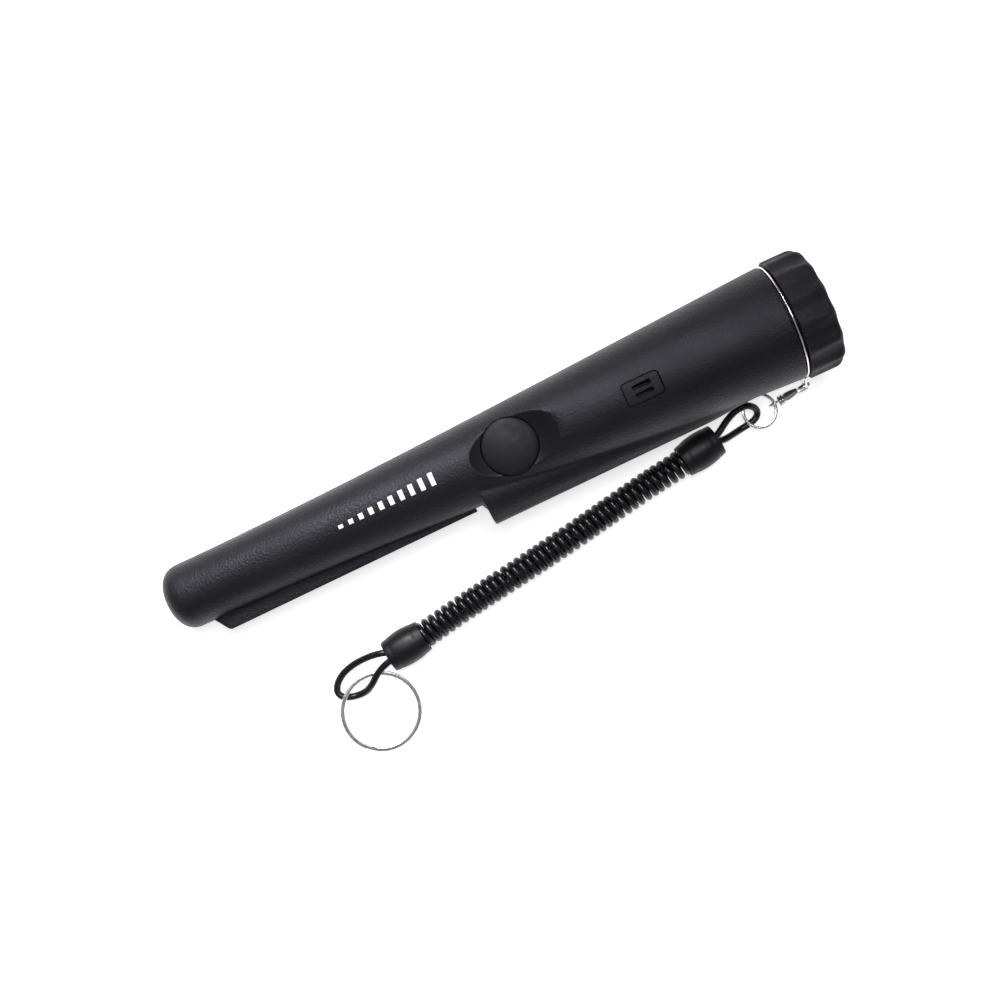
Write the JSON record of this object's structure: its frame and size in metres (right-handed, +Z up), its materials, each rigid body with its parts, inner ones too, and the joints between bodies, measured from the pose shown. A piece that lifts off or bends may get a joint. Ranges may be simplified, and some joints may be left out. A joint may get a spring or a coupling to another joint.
{
  "type": "pinpointer probe",
  "caption": "Hand-held metal-detecting pinpointer with push button, lamp, sounder, screw-on battery cap and coiled lanyard with key ring.",
  "frame": {"origin": "bottom centre of the box round the probe and its hanger ring, lying on a table with the button up; the lanyard isn't counted", "axes": "+X from the tip towards the battery cap, +Z up through the button, -Y the side with the scraper blade, the lamp and the lanyard"},
  "size_m": [0.2406, 0.0988, 0.0418],
  "materials": {
    "case": "moulded grain",
    "cap": "moulded grain",
    "button": "satin",
    "grille": "moulded grain",
    "lens": "clear, polished",
    "led": "clear resin",
    "steel": "polished",
    "wire_steel": "tinned",
    "cord": "satin",
    "ferrule": "satin",
    "board": "solder mask",
    "chips": "epoxy",
    "carrier": "moulded",
    "switch": "tinned",
    "ferrite": "sintered",
    "copper": "enamelled",
    "bobbin": "moulded",
    "foam": "open foam",
    "seal": "satin",
    "battery": "printed jacket",
    "wires": "insulated",
    "weight": "sintered"
  },
  "bodies": {
    "housing": {"housing_shell": "case", "speaker_grille": "grille", "led_lens": "lens", "led": "led", "led_leads": "wire_steel", "switch_body": "switch", "circuit_board": "board", "board_components": "chips", "board_tray": "carrier", "board_screws": "steel", "buzzer": "chips", "vibration_motor": "steel", "motor_mount": "carrier", "tip_pad": "foam", "ferrite_rod": "ferrite", "coil_bobbin": "bobbin", "coil_winding": "copper", "rod_holder": "carrier", "sense_leads": "wires", "battery": "battery", "battery_terminals": "wire_steel", "battery_snap": "ferrule", "snap_leads": "wires", "battery_pads": "foam"},
    "button": {"power_button": "button", "switch_plunger": "chips"},
    "motor_rotor": {"motor_weight": "weight"},
    "seal": {"cap_seal": "seal"},
    "cap": {"battery_cap": "cap", "cap_cushion": "foam"},
    "hanger": {"hanger_ring": "steel"},
    "clasp": {"clasp_body": "steel", "clasp_pin": "steel"},
    "lever": {"clasp_lever": "steel"},
    "swivel": {"clasp_swivel": "steel"},
    "lanyard": {"small_split_ring": "steel", "cord_loop_near": "cord", "ferrule_near": "ferrule", "cord_coil": "cord", "ferrule_far": "ferrule", "cord_loop_far": "cord"},
    "key_ring": {"key_ring": "steel"}
  },
  "joints": [
    {"name": "button_press", "type": "slide", "parent": "housing", "child": "button", "axis": [0.0429, 0, -0.9991], "range_m": [0, 0.0009], "stiffness_N_per_m": 900, "springref_m": -0.0006},
    {"name": "motor_spin", "type": "hinge", "parent": "housing", "child": "motor_rotor", "pos_m": [-0.02822, 0.00188, 0.01192], "axis": [0.9991, 0, 0.0429], "continuous": true},
    {"name": "cap_travel", "type": "slide", "parent": "housing", "child": "seal", "axis": [0.9991, 0, 0.0429], "range_m": [0, 0.009]},
    {"name": "cap_twist", "type": "hinge", "parent": "seal", "child": "cap", "pos_m": [0.11152, 0.00188, 0.02092], "axis": [0.9991, 0, 0.0429], "range_deg": [0, 1080]},
    {"name": "hanger_turn", "type": "hinge", "parent": "housing", "child": "hanger", "pos_m": [0.10588, 0.00188, 0.02068], "axis": [0.9991, 0, 0.0429], "continuous": true},
    {"name": "clasp_swing", "type": "hinge", "parent": "hanger", "child": "clasp", "pos_m": [0.10629, -0.02107, 0.00875], "axis": [0, -0.9799, 0.1994], "range_deg": [-8, 40]},
    {"name": "clasp_lever_open", "type": "hinge", "parent": "clasp", "child": "lever", "pos_m": [0.10317, -0.02164, 0.00593], "axis": [0, -0.9799, 0.1994], "range_deg": [0, 18], "stiffness_Nm_per_rad": 0.004, "springref_deg": -17.19},
    {"name": "clasp_swivel_turn", "type": "hinge", "parent": "clasp", "child": "swivel", "pos_m": [0.09876, -0.02186, 0.00488], "axis": [-0.8854, -0.0927, -0.4555], "range_deg": [-30, 15]},
    {"name": "lanyard_swing", "type": "hinge", "parent": "swivel", "child": "lanyard", "pos_m": [0.09023, -0.02215, 0.00342], "axis": [0, 0, 1], "range_deg": [-5, 35]},
    {"name": "key_ring_swing", "type": "hinge", "parent": "lanyard", "child": "key_ring", "pos_m": [-0.08021, -0.05177, 0.0023], "axis": [0, 0, 1], "range_deg": [0, 10]}
  ],
  "couplings": [
    {"joint": "cap_travel", "follows": "cap_twist", "m_per_rad": 0.00047746}
  ]
}
